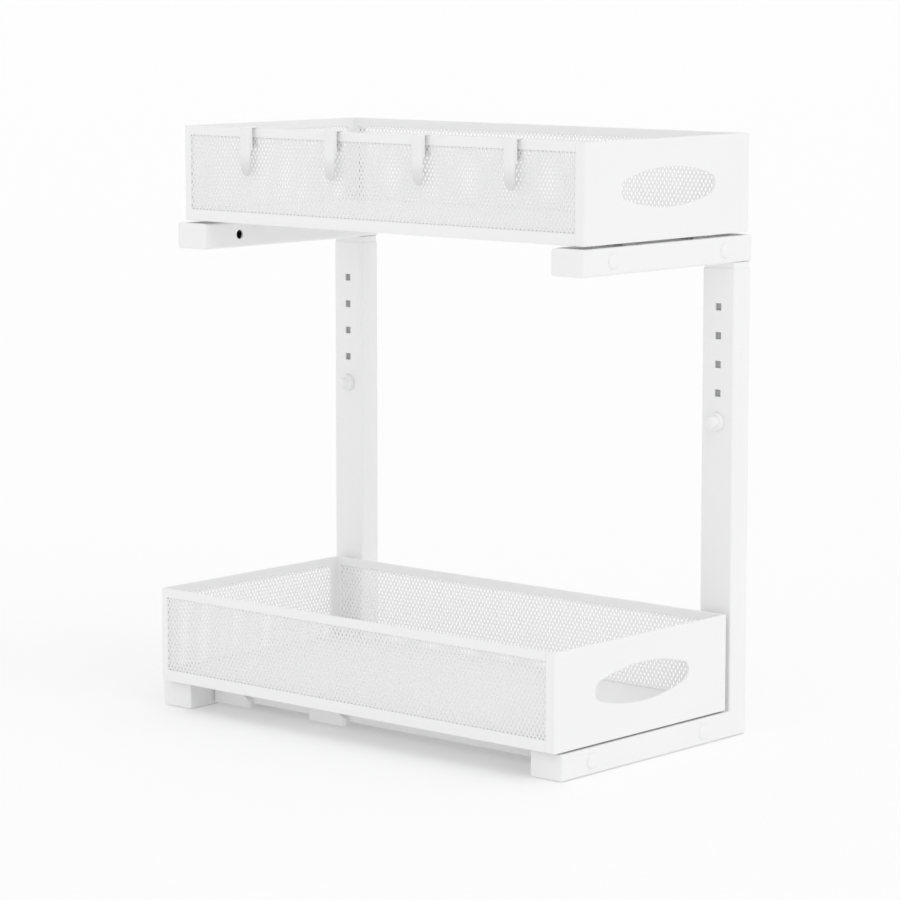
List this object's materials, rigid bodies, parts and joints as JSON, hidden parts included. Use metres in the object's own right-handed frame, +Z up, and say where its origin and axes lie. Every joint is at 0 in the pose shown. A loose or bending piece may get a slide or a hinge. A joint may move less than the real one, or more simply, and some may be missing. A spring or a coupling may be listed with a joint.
{
  "type": "under sink organizer",
  "caption": "Two-tier under sink organizer with pull-out mesh baskets on height-adjustable posts and hooks on the side rim",
  "frame": {"origin": "on the floor, in the middle of the footprint", "axes": "+X from the open side to the posts, +Y from the front panels to the back, +Z up"},
  "size_m": [0.209, 0.3824, 0.423],
  "materials": {
    "white_steel": "satin",
    "white_mesh": "satin",
    "white_plastic": "matte",
    "shoe_plastic": "matte",
    "rail_steel": "satin",
    "screw_paint": "satin",
    "foot_rubber": "matte"
  },
  "bodies": {
    "base": {"front_lower_frame": "white_steel", "rear_lower_frame": "white_steel", "front_post_collar": "white_plastic", "rear_post_collar": "white_plastic", "lower_arm_end_caps": "white_plastic", "foot_pads": "foot_rubber", "lower_left_rail": "rail_steel", "lower_right_rail": "rail_steel", "rail_screws": "screw_paint"},
    "upper_tier": {"front_upper_frame": "white_steel", "rear_upper_frame": "white_steel", "upper_arm_end_caps": "white_plastic", "upper_arm_plugs": "white_plastic", "upper_left_glide": "rail_steel", "upper_right_glide": "rail_steel", "rear_bracket": "white_steel"},
    "lower_basket": {"lower_basket_front_panel": "white_steel", "lower_basket_frame": "white_steel", "lower_basket_left_mesh": "white_mesh", "lower_basket_right_mesh": "white_mesh", "lower_basket_rear_mesh": "white_mesh", "lower_basket_floor": "white_steel", "lower_left_shoes": "shoe_plastic", "lower_right_shoes": "shoe_plastic"},
    "upper_basket": {"upper_basket_front_panel": "white_steel", "upper_basket_frame": "white_steel", "upper_basket_left_mesh": "white_mesh", "upper_basket_right_mesh": "white_mesh", "upper_basket_rear_mesh": "white_mesh", "upper_basket_floor": "white_steel", "upper_left_shoes": "shoe_plastic", "upper_right_shoes": "shoe_plastic"},
    "front_knob": {"front_lock_knob": "white_plastic"},
    "rear_knob": {"rear_lock_knob": "white_plastic"},
    "side_hook_1": {"side_hook_1": "white_steel"},
    "side_hook_2": {"side_hook_2": "white_steel"},
    "side_hook_3": {"side_hook_3": "white_steel"},
    "side_hook_4": {"side_hook_4": "white_steel"}
  },
  "joints": [
    {"name": "tier_height", "type": "slide", "parent": "base", "child": "upper_tier", "axis": [0, 0, 1], "range_m": [0, 0.08]},
    {"name": "lower_basket_pull", "type": "slide", "parent": "base", "child": "lower_basket", "axis": [0, -1, 0], "range_m": [0, 0.19]},
    {"name": "upper_basket_pull", "type": "slide", "parent": "upper_tier", "child": "upper_basket", "axis": [0, -1, 0], "range_m": [0, 0.19]},
    {"name": "front_knob_turn", "type": "hinge", "parent": "base", "child": "front_knob", "pos_m": [0.0768, -0.175, 0.2218], "axis": [-1, 0, 0], "range_deg": [0, 360]},
    {"name": "rear_knob_turn", "type": "hinge", "parent": "base", "child": "rear_knob", "pos_m": [0.0768, 0.175, 0.2218], "axis": [-1, 0, 0], "range_deg": [0, 360]},
    {"name": "side_hook_1_lift", "type": "slide", "parent": "upper_basket", "child": "side_hook_1", "axis": [0, 0, 1], "range_m": [0, 0.03]},
    {"name": "side_hook_2_lift", "type": "slide", "parent": "upper_basket", "child": "side_hook_2", "axis": [0, 0, 1], "range_m": [0, 0.03]},
    {"name": "side_hook_3_lift", "type": "slide", "parent": "upper_basket", "child": "side_hook_3", "axis": [0, 0, 1], "range_m": [0, 0.03]},
    {"name": "side_hook_4_lift", "type": "slide", "parent": "upper_basket", "child": "side_hook_4", "axis": [0, 0, 1], "range_m": [0, 0.03]}
  ]
}
